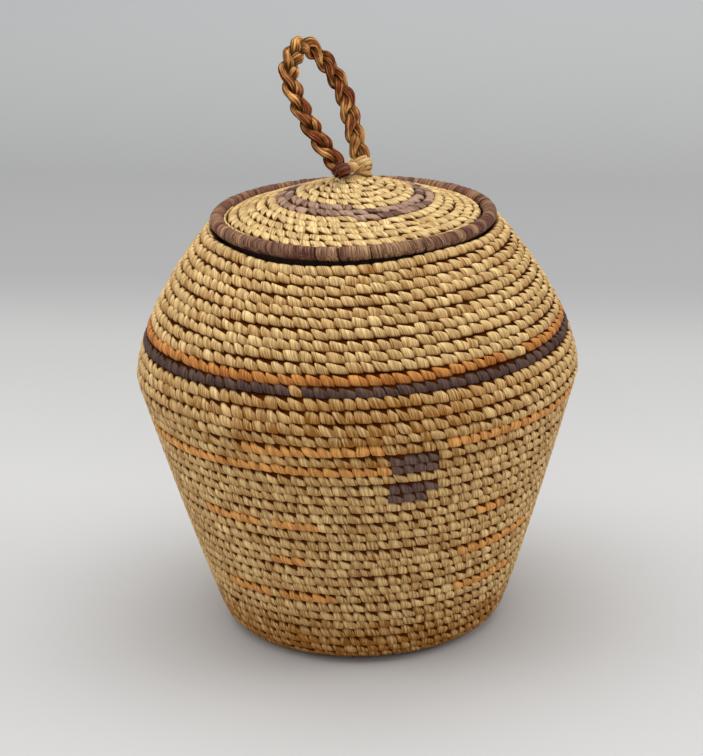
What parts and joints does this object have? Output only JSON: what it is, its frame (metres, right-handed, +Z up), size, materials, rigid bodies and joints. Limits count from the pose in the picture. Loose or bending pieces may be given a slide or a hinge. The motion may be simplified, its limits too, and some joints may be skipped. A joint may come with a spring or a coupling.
{
  "type": "lidded basket",
  "caption": "Round coiled grass basket with a tapered foot, a wide belly, dyed bands, a shallow lift-off lid and a braided loop handle.",
  "frame": {"origin": "on the table, in the middle of the base", "axes": "+Z up along the basket's axis, -Y towards the viewer of the picture, +X to the viewer's right"},
  "size_m": [0.188, 0.1879, 0.2511],
  "materials": {
    "straw": "matte",
    "orange_grass": "matte",
    "purple_grass": "matte",
    "braid_grass": "matte"
  },
  "bodies": {
    "basket": {"base_start_knot": "straw", "base_coil": "straw", "foot_coil": "straw", "lower_flank_coil": "straw", "middle_flank_coil": "straw", "upper_flank_coil": "straw", "lower_dashed_coil": "orange_grass", "spacer_coil": "straw", "upper_dashed_coil": "orange_grass", "belly_coil": "straw", "purple_coil": "purple_grass", "orange_coil": "orange_grass", "shoulder_coil": "straw", "mouth_coil": "straw"},
    "lid": {"lid_start_knot": "straw", "lid_centre_coil": "straw", "lid_purple_coil": "purple_grass", "lid_outer_coil": "straw", "lid_rim": "purple_grass", "lid_collar": "straw"},
    "handle": {"braid_strand_1": "braid_grass", "braid_strand_2": "braid_grass", "braid_strand_3": "braid_grass", "handle_front_knot": "braid_grass", "handle_back_lashing": "straw"}
  },
  "joints": [
    {"name": "lid_lift", "type": "slide", "parent": "basket", "child": "lid", "axis": [0, 0, 1], "range_m": [0, 0.16]},
    {"name": "handle_lean", "type": "hinge", "parent": "lid", "child": "handle", "pos_m": [0, 0, 0.19933], "axis": [0.7071, 0.7071, 0], "range_deg": [-25, 85]}
  ]
}
